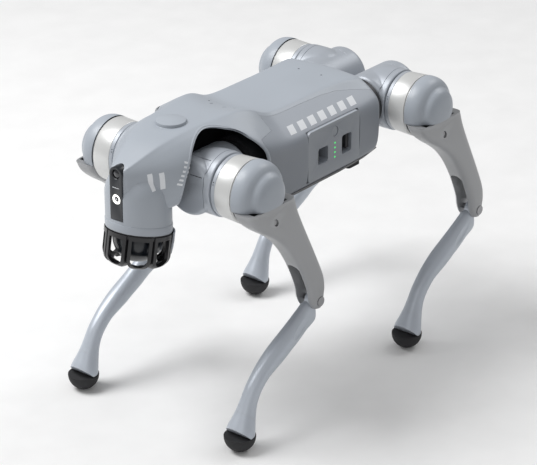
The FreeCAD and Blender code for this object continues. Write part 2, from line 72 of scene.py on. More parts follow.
FRONT_HIP = joint_place("front_left_thigh_pitch")
REAR_HIP = joint_place("rear_left_thigh_pitch")
KNEE = joint_place("front_left_knee")
TRUNK = Vector(((FRONT_HIP.x + REAR_HIP.x) / 2, 0, FRONT_HIP.z))
HIP_X = FRONT_HIP.x - TRUNK.x
LEG_Y = FRONT_HIP.y
SWING_Y = joint_place("front_left_swing").y
LINK = math.hypot(KNEE.x - FRONT_HIP.x, KNEE.z - FRONT_HIP.z)
THIGH_REST = math.atan2(FRONT_HIP.x - KNEE.x, FRONT_HIP.z - KNEE.z)
FOOT_LOW, FOOT_HIGH = (corner * 1000.0 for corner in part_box("front_left_foot"))
FOOT_RADIUS = (FOOT_HIGH.x - FOOT_LOW.x) / 2
FOOT_X = (FOOT_HIGH.x + FOOT_LOW.x) / 2
CALF_REST = -math.atan2(FOOT_X - KNEE.x, KNEE.z - FOOT_RADIUS)
TO_METRES = Matrix.Translation(TRUNK / 1000.0) @ Matrix.Scale(0.001, 4)
MIRROR_Y = Matrix.Scale(-1, 4, (0, 1, 0))
MIRROR_X = Matrix.Scale(-1, 4, (1, 0, 0))
FAR = 400.0
SHARP = math.radians(32)


# ---- mesh helpers -------------------------------------------------------------------------
def new_object(name, mesh):
    piece = bpy.data.objects.new(name, mesh)
    bpy.context.scene.collection.objects.link(piece)
    return piece


def from_faces(name, points, faces):
    mesh = bpy.data.meshes.new(name)
    mesh.from_pydata([tuple(point) for point in points], [], faces)
    mesh.validate()
    tidy_normals(mesh)
    return new_object(name, mesh)


def tidy_normals(mesh):
    work = bmesh.new()
    work.from_mesh(mesh)
    bmesh.ops.remove_doubles(work, verts=work.verts, dist=0.002)
    bmesh.ops.recalc_face_normals(work, faces=work.faces)
    work.to_mesh(mesh)
    work.free()


def from_rings(name, rings, looped=False):
    """Solid through closed rings of equally many points; looped for a closed tube."""
    count = len(rings[0])
    points = [point for ring in rings for point in ring]
    faces = []
    spans = len(rings) if looped else len(rings) - 1
    for row in range(spans):
        here, there = row * count, (row + 1) % len(rings) * count
        for column in range(count):
            after = (column + 1) % count
            faces.append((here + column, here + after, there + after, there + column))
    if not looped:
        faces.append(tuple(range(count)))
        faces.append(tuple(range(len(points) - count, len(points))))
    return from_faces(name, points, faces)


def smooth_path(points, steps):
    """Catmull-Rom curve through points of any length, with steps samples in each span."""
    path = []
    for index in range(len(points) - 1):
        p1, p2 = points[index], points[index + 1]
        p0 = points[index - 1] if index else [2 * a - b for a, b in zip(p1, p2)]
        last = index + 2 >= len(points)
        p3 = [2 * b - a for a, b in zip(p1, p2)] if last else points[index + 2]
        for step in range(steps):
            t = step / steps
            path.append([0.5 * (2 * b + (c - a) * t + (2 * a - 5 * b + 4 * c - d) * t * t
                                + (3 * b - a - 3 * c + d) * t ** 3)
                         for a, b, c, d in zip(p0, p1, p2, p3)])
    path.append(list(points[-1]))
    return path


def revolved(name, profile, segments=96, looped=False):
    """Turned solid about the sideways axis from (radius, y) pairs; looped for a shell."""
    rings = []
    for index in range(segments):
        angle = 2 * math.pi * index / segments
        rings.append([(r * math.sin(angle), y, r * math.cos(angle)) for r, y in profile])
    if looped:
        return from_rings(name, rings, looped=True)
    count = len(profile)
    points = [point for ring in rings for point in ring]
    faces = []
    for row in range(segments):
        here, there = row * count, (row + 1) % segments * count
        for column in range(count - 1):
            faces.append((here + column, here + column + 1, there + column + 1, there + column))
    return from_faces(name, points, faces)


def oval_ring(s, centre_n, half_n, centre_y, half_y, power, count=40):
    """Level ring of a limb: a superellipse, from round (power 2) towards square."""
    ring = []
    for index in range(count):
        angle = 2 * math.pi * index / count
        cosine, sine = math.cos(angle), math.sin(angle)
        n = math.copysign(abs(cosine) ** (2 / power), cosine)
        y = math.copysign(abs(sine) ** (2 / power), sine)
        ring.append((centre_n + half_n * n, centre_y + half_y * y, -s))
    return ring


def block(name, x0, x1, y0, y1, z0, z1):
    points = [(x, y, z) for x in (x0, x1) for y in (y0, y1) for z in (z0, z1)]
    faces = [(0, 1, 3, 2), (4, 6, 7, 5), (0, 4, 5, 1), (2, 3, 7, 6), (0, 2, 6, 4), (1, 5, 7, 3)]
    return from_faces(name, points, faces)


def drum(name, radius, start, end, axis="Y", centre=(0, 0, 0), segments=128):
    """Plain round tool along X, Y or Z, from start to end on that axis."""
    piece = revolved(name, [(0, start), (radius, start), (radius, end), (0, end)], segments)
    turn = {"Y": Matrix.Identity(4), "X": Matrix.Rotation(-math.pi / 2, 4, "Z"),
            "Z": Matrix.Rotation(math.pi / 2, 4, "X")}[axis]
    piece.data.transform(Matrix.Translation(Vector(centre)) @ turn)
    return piece


def apply_modifiers(piece):
    bpy.context.view_layer.update()
    graph = bpy.context.evaluated_depsgraph_get()
    mesh = bpy.data.meshes.new_from_object(piece.evaluated_get(graph))
    piece.modifiers.clear()
    piece.data = mesh
    return piece


def combine(piece, operation, *tools, keep=()):
    """Boolean with each tool in turn; tools not kept are removed."""
    for tool in tools:
        modifier = piece.modifiers.new("cut", "BOOLEAN")
        modifier.operation = operation
        modifier.solver = "EXACT"
        modifier.object = tool
        apply_modifiers(piece)
        if tool not in keep:
            bpy.data.objects.remove(tool)
    return piece


def rounded(piece, width, segments=2, angle=35.0):
    modifier = piece.modifiers.new("edges", "BEVEL")
    modifier.width = width
    modifier.segments = segments
    modifier.limit_method = "ANGLE"
    modifier.angle_limit = math.radians(angle)
    modifier.use_clamp_overlap = True
    return apply_modifiers(piece)


def subdivided(piece, levels):
    modifier = piece.modifiers.new("smooth", "SUBSURF")
    modifier.levels = modifier.render_levels = levels
    return apply_modifiers(piece)


def remeshed(piece, voxel, rounds):
    """Blends joined forms into one casting."""
    modifier = piece.modifiers.new("voxels", "REMESH")
    modifier.mode = "VOXEL"
    modifier.voxel_size = voxel
    modifier = piece.modifiers.new("relax", "SMOOTH")
    modifier.factor = 0.6
    modifier.iterations = rounds
    return apply_modifiers(piece)


def copy_of(piece, name):
    return new_object(name, piece.data.copy())


def turned(piece, angle):
    piece.data.transform(Matrix.Rotation(angle, 4, "Y"))
    return piece


def place(piece, body, material, nodes=(), matrix=None):
    """Moves a finished millimetre mesh into the frame and gives it its body and finish."""
    if matrix is not None:
        piece.data.transform(matrix)
        if matrix.determinant() < 0:
            piece.data.flip_normals()
    piece.data.transform(TO_METRES)
    for face in piece.data.polygons:
        face.use_smooth = True
    piece.data.set_sharp_from_angle(angle=SHARP)
    piece.data.materials.clear()
    piece.data.materials.append(material)
    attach(piece, body)
    if nodes:
        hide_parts(*nodes)
    return piece


# ---- materials ----------------------------------------------------------------------------
MOTTLE = 0.05
WORN_COLOUR = (0.6, 0.62, 0.64, 1)


def finish_material(name, colour, rough, metal=0.0, coat=0.0, grain=900.0, bump=0.02, wear=0.0,
                    rough_spread=0.08, side=1.0):
    """Moulded or painted finish: faint mottling, fine grain, edges rubbed a little, and
    faces standing near vertical or facing down coloured darker as painted shade when side is below
    1."""
    material = bpy.data.materials.new(name)
    material.use_nodes = True
    nodes, links = material.node_tree.nodes, material.node_tree.links
    shader = nodes["Principled BSDF"]
    shader.inputs["Metallic"].default_value = metal
    shader.inputs["Coat Weight"].default_value = coat
    shader.inputs["Coat Roughness"].default_value = 0.12
    place_node = nodes.new("ShaderNodeTexCoord")
    broad = nodes.new("ShaderNodeTexNoise")
    broad.inputs["Scale"].default_value = 14.0
    broad.inputs["Detail"].default_value = 4.0
    fine = nodes.new("ShaderNodeTexNoise")
    fine.inputs["Scale"].default_value = grain
    fine.inputs["Detail"].default_value = 2.0
    for noise in (broad, fine):
        links.new(place_node.outputs["Object"], noise.inputs["Vector"])
    tint = nodes.new("ShaderNodeMapRange")
    tint.inputs["To Min"].default_value = 1.0 - MOTTLE
    tint.inputs["To Max"].default_value = 1.0 + MOTTLE
    links.new(broad.outputs["Fac"], tint.inputs["Value"])
    scale = nodes.new("ShaderNodeVectorMath")
    scale.operation = "SCALE"
    scale.inputs[0].default_value = colour
    # Painted shade: the colour is scaled down on faces standing near vertical or facing down, to
    # side times the colour, for the shade that falls there.
    surface_way = nodes.new("ShaderNodeNewGeometry")
    split = nodes.new("ShaderNodeSeparateXYZ")
    links.new(surface_way.outputs["Normal"], split.inputs["Vector"])
    painted_side_shade = nodes.new("ShaderNodeMapRange")
    painted_side_shade.inputs["From Max"].default_value = 0.75
    painted_side_shade.inputs["To Min"].default_value = side
    links.new(split.outputs["Z"], painted_side_shade.inputs["Value"])
    shade = nodes.new("ShaderNodeMath")
    shade.operation = "MULTIPLY"
    links.new(tint.outputs["Result"], shade.inputs[0])
    links.new(painted_side_shade.outputs["Result"], shade.inputs[1])
    links.new(shade.outputs["Value"], scale.inputs["Scale"])
    colour_out = scale.outputs["Vector"]
    if wear > 0:
        geometry = nodes.new("ShaderNodeNewGeometry")
        edge = nodes.new("ShaderNodeMapRange")
        edge.inputs["From Min"].default_value = 0.52
        edge.inputs["From Max"].default_value = 0.62
        edge.inputs["To Max"].default_value = wear
        links.new(geometry.outputs["Pointiness"], edge.inputs["Value"])
        mix = nodes.new("ShaderNodeMix")
        mix.data_type = "RGBA"
        mix.inputs[7].default_value = WORN_COLOUR
        links.new(edge.outputs["Result"], mix.inputs[0])
        links.new(colour_out, mix.inputs[6])
        colour_out = mix.outputs[2]
    links.new(colour_out, shader.inputs["Base Color"])
    roughness = nodes.new("ShaderNodeMapRange")
    roughness.inputs["To Min"].default_value = max(0.02, rough - rough_spread)
    roughness.inputs["To Max"].default_value = rough + rough_spread
    links.new(broad.outputs["Fac"], roughness.inputs["Value"])
    links.new(roughness.outputs["Result"], shader.inputs["Roughness"])
    relief = nodes.new("ShaderNodeBump")
    relief.inputs["Strength"].default_value = bump
    relief.inputs["Distance"].default_value = 0.0004
    links.new(fine.outputs["Fac"], relief.inputs["Height"])
    links.new(relief.outputs["Normal"], shader.inputs["Normal"])
    return material


# side=0.88 paints the shell's steep faces a little darker: painted shade.
SHELL = finish_material("shell_paint", (0.385, 0.42, 0.468), 0.42, coat=0.12, wear=0.15,
                        side=0.88)
# side=0.58 paints the steep faces of the flanks, the battery case and the power button much
# darker: painted shade.
FLANK = finish_material("flank_paint", (0.335, 0.365, 0.412), 0.44, coat=0.1, wear=0.15,
                        side=0.58)
HIP = finish_material("hip_paint", (0.40, 0.43, 0.475), 0.38, metal=0.15, wear=0.12)
SILVER = finish_material("ring_silver", (0.66, 0.665, 0.66), 0.36, metal=0.3, coat=0.1)
THIGH = finish_material("thigh_paint", (0.33, 0.335, 0.345), 0.38, metal=0.3, wear=0.1)
CALF = finish_material("calf_paint", (0.50, 0.54, 0.60), 0.36, metal=0.2, wear=0.1)
RUBBER = finish_material("rubber", (0.016, 0.016, 0.018), 0.72, bump=0.25, grain=500.0)
GUARD = finish_material("guard_plastic", (0.014, 0.014, 0.016), 0.34, coat=0.2, bump=0.05)
DARK = finish_material("dark_plastic", (0.02, 0.021, 0.024), 0.5, bump=0.08)
WINDOW = finish_material("window_gloss", (0.008, 0.011, 0.016), 0.28, coat=0.15, bump=0.0,
                         rough_spread=0.02)
GLASS = finish_material("lens_gloss", (0.006, 0.007, 0.012), 0.05, coat=1.0, bump=0.0,
                        rough_spread=0.01)
MOTOR = finish_material("motor_metal", (0.045, 0.046, 0.05), 0.42, metal=0.6, bump=0.1)
ALLOY = finish_material("machined_alloy", (0.42, 0.43, 0.44), 0.34, metal=0.9, bump=0.1)
STEEL = finish_material("screw_steel", (0.30, 0.30, 0.31), 0.3, metal=1.0, bump=0.05)
BOARD = finish_material("circuit_board", (0.02, 0.11, 0.05), 0.45, bump=0.1)
# White paint for the printed marks, also used for the painted highlight at the lamp's centre.
WHITE_PRINT_AND_GLINT = finish_material("white_print_and_painted_glint", (0.72, 0.74, 0.77), 0.45, bump=0.01)


def glowing(name, colour, strength):
    material = finish_material(name, colour, 0.3)
    shader = material.node_tree.nodes["Principled BSDF"]
    shader.inputs["Emission Color"].default_value = (*colour, 1)
    shader.inputs["Emission Strength"].default_value = strength
    return material


LAMP = glowing("lamp_ring_white", (0.9, 0.9, 0.86), 1.2)
GREEN = glowing("charge_green", (0.05, 0.75, 0.15), 0.7)

# ---- trunk shells -------------------------------------------------------------------------
# Left half of each section, as (y, z): top centre, plateau or hood edge, seam or band edge,
# shoulder corner, side top, side middle, side bottom, belly edge, bottom centre.
TRUNK_SECTIONS = [
    (-131, [(0, 52), (64, 49), (84, 38), (95, 29), (99, 18),
            (99, -10), (98, -40), (86, -56), (0, -58)]),
    (-118, [(0, 54), (62, 52), (79, 41), (95, 30), (99, 19),
            (99, -12), (98, -44), (86, -58), (0, -59)]),
    (-90, [(0, 55), (57, 54.5), (68, 45), (94, 30), (99, 20),
           (99.5, -13), (98, -46), (87, -59), (0, -60)]),
    (-43, [(0, 55), (53, 55), (60, 51), (94, 30), (99, 20),
           (99.5, -14), (98, -47), (88, -60), (0, -60)]),
    (20, [(0, 55), (53, 55), (58, 52), (94, 30), (99, 20),
          (99.5, -14), (98, -47), (88, -60), (0, -60)]),
    (68, [(0, 55), (53, 55), (58, 52), (94, 30), (99, 20),
          (99.5, -14), (98, -47), (88, -60), (0, -60)]),
    (87, [(0, 56.5), (53, 61), (59, 57), (94, 32), (99, 21),
          (99.5, -14), (98, -47), (88, -60), (0, -60)]),
    (106, [(0, 61), (50, 71), (59, 65), (94, 36), (100, 24),
           (100, -14), (98, -46), (87, -59), (0, -59)]),
    (122, [(0, 66), (48, 75), (57, 69), (93, 41), (100, 28),
           (100, -12), (98, -42), (86, -56), (0, -57)]),
    (138, [(0, 71.5), (46, 76.5), (55, 72), (90, 49), (100, 35),
           (99, -6), (96, -32), (80, -46), (0, -54)]),
    (158, [(0, 74.5), (42, 75.3), (51, 71.8), (72, 62), (88, 48),
           (84, 10), (80, -18), (62, -28), (0, -40)]),
    (190, [(0, 75.2), (37, 74.3), (45, 71), (53, 66.5), (60, 58),
           (62, 20), (62, -5), (50, -20), (0, -32)]),
    (222, [(0, 74.8), (34.5, 73.4), (44, 69), (55, 62), (65, 48),
           (70, 22), (69, 2), (52, -20), (0, -30)]),
    (250, [(0, 72), (31, 70), (41, 64.5), (54, 55), (64, 42),
           (69, 24), (67, 6), (46, -20), (0, -32)]),
    (272, [(0, 66), (25, 63.5), (33, 57), (43, 48), (49, 38),
           (51.5, 20), (50, 0), (42, -24), (0, -32)]),
    (296, [(0, 54), (18, 52.5), (23.5, 47), (28.5, 41), (31, 34),
           (32.5, 18), (32.5, -4), (31, -24), (0, -32)]),
    (316, [(0, 45.5), (12, 44), (14.5, 40), (16.5, 36), (17.5, 30),
           (17.7, 16), (17.7, -6), (18, -24), (0, -30)]),
    (324, [(0, 40), (9, 39), (11, 35.5), (12, 32), (12.5, 26),
           (12.5, 14), (12.5, -6), (12.5, -22), (0, -27)]),
]
COLUMN_CREASE = {1: 0.62, 2: 0.5, 4: 0.25, 7: 0.3}
SHELL_WALL = 3.0
ARCH_RADIUS = 65.0
ARCH_Z = 6.0
CHIN_X = 281.0
CHIN_RADIUS = 44.3
CHIN_EDGE = 13.0
COLLAR_RADIUS = 44.9
COLLAR_CORE = 43.0
COLLAR_TOP = 24.2
FLANK_END_X = 133.0
FLANK_FOOT_Z = -52
HEAD_SPLIT_X = 100.0
HEAD_REAR_Z = 46
SEAM_GAP = 0.3
MOTOR_ROOM_RADIUS = 40.4
RELIEF_RADIUS = 46.6
LIP_RADIUS = 2.5
LIP_DEPTH = 1.9
LIP_OUTSET = 1.5
MARK_LIFT = 0.12


def creased(piece, columns):
    """Marks the lengthwise edges of a sectioned form so that subdivision keeps them crisp."""
    mesh = piece.data
    layer = mesh.attributes.new("crease_edge", "FLOAT", "EDGE")
    for edge in mesh.edges:
        a, b = sorted(edge.vertices)
        column_a, column_b = a % columns, b % columns
        if a // columns == b // columns or column_a != column_b:
            continue
        half = min(column_a, columns - column_a)
        layer.data[edge.index].value = COLUMN_CREASE.get(half, 0.0)
    return piece


def trunk_form(name, inset=0.0):
    rings = []
    first, last = TRUNK_SECTIONS[0][0], TRUNK_SECTIONS[-1][0]
    for x, points in TRUNK_SECTIONS:
        held = max(first + inset, min(x, last - inset * 1.5))
        left = []
        for y, z in points:
            inner_z = z - inset if z > 0 else z + inset
            left.append((max(0.0, y - inset), inner_z))
        right = [(-y, z) for y, z in reversed(left[1:-1])]
        rings.append([(held, y, z) for y, z in left + right])
    count = len(rings[0])
    mesh = bpy.data.meshes.new(name)
    points = [point for ring in rings for point in ring]
    faces = []
    for row in range(len(rings) - 1):
        for column in range(count):
            after = (column + 1) % count
            faces.append((row * count + column, row * count + after,
                          (row + 1) * count + after, (row + 1) * count + column))
    half = count // 2
    for start in (0, len(points) - count):
        for column in range(half):
            a, b = column, column + 1
            c, d = (count - b) % count, (count - a) % count
            corners = []
            for corner in (a, b, c, d):
                if start + corner not in corners:
                    corners.append(start + corner)
            if len(corners) > 2:
                faces.append(tuple(corners))
    mesh.from_pydata(points, [], faces)
    piece = creased(new_object(name, mesh), count)
    work = bmesh.new()
    work.from_mesh(piece.data)
    bmesh.ops.recalc_face_normals(work, faces=work.faces)
    work.to_mesh(piece.data)
    work.free()
    return subdivided(piece, 3)


def beyond_chin(edge):
    """Everything below a plane square to the scanner's axis, edge above the dome's centre."""
    below = block("below", -150, 150, -150, 150, edge - 200, edge)
    below.data.transform(scanner_matrix())
    return below


def upright_rings(levels):
    """Round level rings about the chin's axis from (height, radius) pairs."""
    count = 96
    rings = []
    for z, radius in levels:
        rings.append([(CHIN_X + radius * math.cos(2 * math.pi * i / count),
                       radius * math.sin(2 * math.pi * i / count), z) for i in range(count)])
    return rings


def chin_form(name, inset=0.0):
    """Round lower head, cut off square to the scanner's axis, narrowing into the cheeks."""
    shares = [(-95, 1.0), (3, 1.0), (11, 0.96), (20, 0.86), (29, 0.73), (37 - inset, 0.6)]
    column = from_rings(name, upright_rings([(z, CHIN_RADIUS * k - inset) for z, k in shares]))
    return combine(column, "DIFFERENCE", beyond_chin(CHIN_EDGE + inset))


def make_collar():
    """Slightly proud band round the chin's lower edge."""
    band = from_rings("chin_collar", upright_rings([(-95, COLLAR_RADIUS), (10, COLLAR_RADIUS)]))
    core = from_rings("collar_core", upright_rings([(-96, COLLAR_CORE), (11, COLLAR_CORE)]))
    above = block("above", -150, 150, -150, 150, COLLAR_TOP, 300)
    above.data.transform(scanner_matrix())
    combine(band, "DIFFERENCE", core, above, beyond_chin(CHIN_EDGE - 0.1))
    return rounded(band, 0.6, 2, 40)


def outer_form(name, inset=0.0):
    return combine(trunk_form(name, inset), "UNION", chin_form(name + "_chin", inset))


def swing_reliefs():
    """Room for a front thigh ring when its hip is swung right out."""
    reliefs = []
    top = JOINTS["front_left_swing"]["range_deg"][1]
    for side in (1, -1):
        for back in (0, 14, 28):
            ring = drum("relief", RELIEF_RADIUS, 85, 175, "Y", (HIP_X, 0, 0), 96)
            pivot = Matrix.Translation((0, SWING_Y, 0))
            swing = pivot @ Matrix.Rotation(math.radians(top - back), 4, "X") @ pivot.inverted()
            ring.data.transform(swing if side == 1 else MIRROR_Y @ swing)
            if side == -1:
                ring.data.flip_normals()
            reliefs.append(ring)
    return reliefs


def plan_prism(name, outline, z0, z1):
    """Upright block with a mirrored outline, listed along its left side."""
    loop = outline + [(x, -y) for x, y in reversed(outline)]
    rings = [[(x, y, z) for x, y in loop] for z in (z0, z1)]
    return from_rings(name, rings)


def strip_form(name, x0, x1, half_width, z0, z1):
    """Upright strip facing forward: square foot and round top."""
    outline = [(-half_width, z0), (half_width, z0)]
    for index in range(25):
        angle = math.pi * index / 24
        outline.append((half_width * math.cos(angle),
                        z1 - half_width + half_width * math.sin(angle)))
    return from_rings(name, [[(x, y, z) for y, z in outline] for x in (x0, x1)])


WINDOW_BOX = (300.0, 330.0, 10.9, -29.0, 47.3)
LENS_Z = 36.5
LAMP_Z = 1.2
FACE_X = 324.3


def make_shells():
    outer = outer_form("outer_form")
    skin = copy_of(outer, "skin")
    combine(skin, "DIFFERENCE", outer_form("inner_form", SHELL_WALL))
    arches = [drum("arch", ARCH_RADIUS, -FAR, FAR, "Y", (side * HIP_X, 0, ARCH_Z))
              for side in (1, -1)]
    motors = [drum("motor_room", MOTOR_ROOM_RADIUS, min(side * 105, side * 150),
                   max(side * 105, side * 150), "X", (0, y, 0))
              for side in (1, -1) for y in (SWING_Y, -SWING_Y)]
    reliefs = swing_reliefs()
    combine(skin, "DIFFERENCE", *arches, *motors, *reliefs)
    surface = BVHTree.FromObject(outer, bpy.context.evaluated_depsgraph_get())
    bpy.data.objects.remove(outer)
    outline = [(-140, 91), (-124, 84), (-90, 70), (-64, 63), (-33, 60), (20, 58.5),
               (HEAD_SPLIT_X, 58.5)]
    back_zone = plan_prism("back_zone", outline, 30, 120)
    wide = [(x, y + SEAM_GAP) for x, y in outline[:-1]]
    wide.append((HEAD_SPLIT_X + SEAM_GAP, outline[-1][1] + SEAM_GAP))
    back_room = plan_prism("back_room", wide, 29, 121)
    pieces = {}
    pieces["back_shell"] = combine(copy_of(skin, "back_cover"), "INTERSECT", back_zone)
    head = copy_of(skin, "head_cover")
    low_rear = block("low_rear", -FAR, FLANK_END_X, -FAR, FAR, -FAR, HEAD_REAR_Z)
    rear = block("rear", -FAR, HEAD_SPLIT_X + SEAM_GAP, -FAR, FAR, -FAR, FAR)
    combine(head, "DIFFERENCE", low_rear, rear)
    pieces["head_shell"] = head
    for name, y0, y1 in (("left_flank", 0, FAR), ("right_flank", -FAR, 0)):
        flank = copy_of(skin, name + "_panel")
        side = block("side", -FAR, FLANK_END_X - SEAM_GAP, y0, y1, FLANK_FOOT_Z, FAR)
        over = block("over", HEAD_SPLIT_X, FAR, -FAR, FAR, HEAD_REAR_Z - SEAM_GAP, FAR)
        combine(flank, "INTERSECT", side)
        combine(flank, "DIFFERENCE", back_room, over, keep=(back_room,))
        pieces[name] = flank
    bpy.data.objects.remove(back_room)
    bpy.data.objects.remove(skin)
    return pieces, surface


def arch_lip(name, side, surface):
    """Rolled edge of a front arch, swept just under the shell's outer surface."""
    rings = []
    for index in range(81):
        angle = math.radians(-112 + 2.8 * index)
        out = Vector((math.sin(angle), 0, math.cos(angle)))
        x = HIP_X + (ARCH_RADIUS + LIP_OUTSET) * out.x
        z = ARCH_Z + (ARCH_RADIUS + LIP_OUTSET) * out.z
        hit, normal, _, _ = surface.ray_cast(Vector((x, side * FAR, z)), Vector((0, -side, 0)))
        if hit is None:
            continue
        inward = normal if normal.y * side < 0 else -normal
        centre = hit + inward * LIP_DEPTH
        rings.append([centre + out * (LIP_RADIUS * math.cos(math.pi * k / 8))
                      + Vector((0, LIP_RADIUS * math.sin(math.pi * k / 8), 0))
                      for k in range(16)])
    lip = from_rings(name, rings)
    return combine(lip, "DIFFERENCE", *swing_reliefs())


def surface_mark(name, surface, corners, direction):
    """Thin painted patch between four corners, laid on the shell along a direction."""
    a, b, c, d = (Vector(corner) for corner in corners)
    cells = 6
    points = []
    for i in range(cells + 1):
        for j in range(cells + 1):
            u, v = i / cells, j / cells
            start = a * (1 - u) * (1 - v) + b * u * (1 - v) + c * u * v + d * (1 - u) * v
            hit, normal, _, _ = surface.ray_cast(start - direction * 200, direction)
            if normal.dot(direction) > 0:
                normal = -normal
            points.append(hit + normal * MARK_LIFT)
    faces = []
    for i in range(cells):
        for j in range(cells):
            corner = i * (cells + 1) + j
            faces.append((corner, corner + 1, corner + cells + 2, corner + cells + 1))
    return from_faces(name, points, faces)


def scanner_matrix():
    """From the scanner's own frame, axis up through its dome's centre, to under the chin."""
    spin = JOINTS["scanner_spin"]
    axis = Vector(spin["axis"])
    tilt = math.atan2(axis.x, -axis.z)
    centre = Vector(spin["pos_m"]) * 1000.0 - TRUNK
    return Matrix.Translation(centre) @ Matrix.Rotation(-tilt, 4, "Y")


BATTERY_GAP = 0.7
SCREW_HOLE_RADIUS = 1.6
SLOT_X = 116
SLOT_LENGTH = 5
SLOT_HALF_WIDTH = 0.9
shells, surface = make_shells()
battery_low, battery_high = (corner * 1000.0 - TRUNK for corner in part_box("battery_case"))


def top_hole(x, y):
    return drum("hole", SCREW_HOLE_RADIUS, 40, 100, "Z", (x, y, 0), 24)


def place_shells():
    """Openings of the battery, the window and the mounting points, then the four shells."""
    opening = block("battery_opening", battery_low.x - BATTERY_GAP, battery_high.x + BATTERY_GAP,
                    0, FAR, battery_low.z - BATTERY_GAP, battery_high.z + BATTERY_GAP)
    combine(shells["left_flank"], "DIFFERENCE", opening)
    combine(shells["head_shell"], "DIFFERENCE", strip_form("window_seat", *WINDOW_BOX))
    for y in (22, -22):
        combine(shells["head_shell"], "DIFFERENCE", top_hole(108, y))
    for y in (11, -11):
        slot = block("slot", SLOT_X - SLOT_HALF_WIDTH - SLOT_LENGTH / 2,
                     SLOT_X + SLOT_HALF_WIDTH + SLOT_LENGTH / 2,
                     y - SLOT_HALF_WIDTH, y + SLOT_HALF_WIDTH, 40, 100)
        combine(shells["head_shell"], "DIFFERENCE", slot)
    for y in (20, -20):
        combine(shells["back_shell"], "DIFFERENCE", top_hole(-88, y))
    for name, paint, slot in (("back_shell", SHELL, "shell_grey"),
                              ("head_shell", SHELL, "shell_grey"),
                              ("left_flank", FLANK, "flank_grey"),
                              ("right_flank", FLANK, "flank_grey")):
        place(shells[name], "trunk", paint, (name,))
    for label, side in (("left", 1), ("right", -1)):
        place(arch_lip(f"arch_lip_{label}", side, surface), "trunk", SHELL)
    place(make_collar(), "trunk", SHELL)


place_shells()


# ---- head details -------------------------------------------------------------------------
def facing_forward(piece, x, z):
    """Stands a turned piece, drawn about the sideways axis, on the head's front."""
    piece.data.transform(Matrix.Translation((x, 0, z)) @ Matrix.Rotation(-math.pi / 2, 4, "Z"))
    return piece


PUCK_X = 213
PUCK_SEAT_Z = 70


def make_head_details():
    strip = strip_form("window_strip", 306.0, FACE_X, 10.5, -28.6, 46.9)
    lens_well = facing_forward(drum("lens_well", 7.4, -3.2, 2), FACE_X, LENS_Z)
    lamp_well = facing_forward(drum("lamp_well", 7.2, -1.6, 2), FACE_X, LAMP_Z)
    combine(strip, "DIFFERENCE", lens_well, lamp_well)
    rounded(strip, 0.5, 2, 40)
    place(strip, "trunk", WINDOW, ("camera_window",))
    lens = revolved("front_lens", [(0, -0.4), (3, -0.7), (5.2, -1.6), (6.6, -3.0), (7.3, -3.1),
                                   (7.3, -5.0), (0, -5.0)], 64)
    place(facing_forward(lens, FACE_X, LENS_Z), "trunk", GLASS, ("camera_lens",))
    rim = revolved("lens_rim", [(6.3, -1.2), (7.3, -0.1), (7.9, -0.1), (7.9, -1.0), (6.6, -2.6)],
                   64, True)
    place(facing_forward(rim, FACE_X, LENS_Z), "trunk", MOTOR)
    lamp = revolved("lamp_ring", [(3.7, -1.2), (4.1, -0.4), (6.6, -0.4), (7.0, -1.2), (7.0, -1.6),
                                  (3.7, -1.6)], 64, True)
    place(facing_forward(lamp, FACE_X, LAMP_Z), "trunk", LAMP)
    core = revolved("lamp_core", [(0, -0.5), (1.2, -0.6), (3.5, -1.3), (3.5, -1.6), (0, -1.6)], 48)
    place(facing_forward(core, FACE_X, LAMP_Z), "trunk", GLASS)
    # Painted highlight: a small white spot in the lamp's centre, standing in for a glint of light
    # on it.
    glint = revolved("lamp_spot", [(0, -0.1), (0.9, -0.2), (1.2, -0.6), (0, -0.6)], 24)
    place(facing_forward(glint, FACE_X, LAMP_Z), "trunk", WHITE_PRINT_AND_GLINT)
    line = rounded(block("window_line", FACE_X - 0.3, FACE_X + 0.12, -5.8, 5.8, 17.1, 17.9), 0.1)
    place(line, "trunk", WHITE_PRINT_AND_GLINT)
    puck = revolved("sensor_puck", [(0, 8.0), (19.0, 8.0), (20.1, 7.5), (20.5, 6.6), (20.6, 3.4),
                                    (21.4, 2.4), (23.0, 1.2), (23.0, -3), (0, -3)], 128)
    puck.data.transform(Matrix.Translation((PUCK_X, 0, PUCK_SEAT_Z))
                        @ Matrix.Rotation(math.pi / 2, 4, "X"))
    place(puck, "trunk", SHELL, ("head_puck",))


def make_scanner_cover():
    """Thin curved cover behind the scanner's cage."""
    rings = []
    for index in range(49):
        angle = math.radians(118 + index * 124 / 48)
        fade = 1 - abs(index - 24) / 24
        low = -4 - 22 * min(1.0, 2.2 * fade) ** 0.6
        column = []
        for radius, z in ((46.6, 12.6), (48.4, 12.6), (48.6, 0), (48.0, (low - 4) / 2),
                          (46.9, low), (46.2, low), (46.6, 0)):
            column.append((radius * math.cos(angle), radius * math.sin(angle), z))
        rings.append(column)
    cover = from_rings("scanner_cover", rings)
    cover.data.transform(scanner_matrix())
    place(cover, "trunk", SHELL)


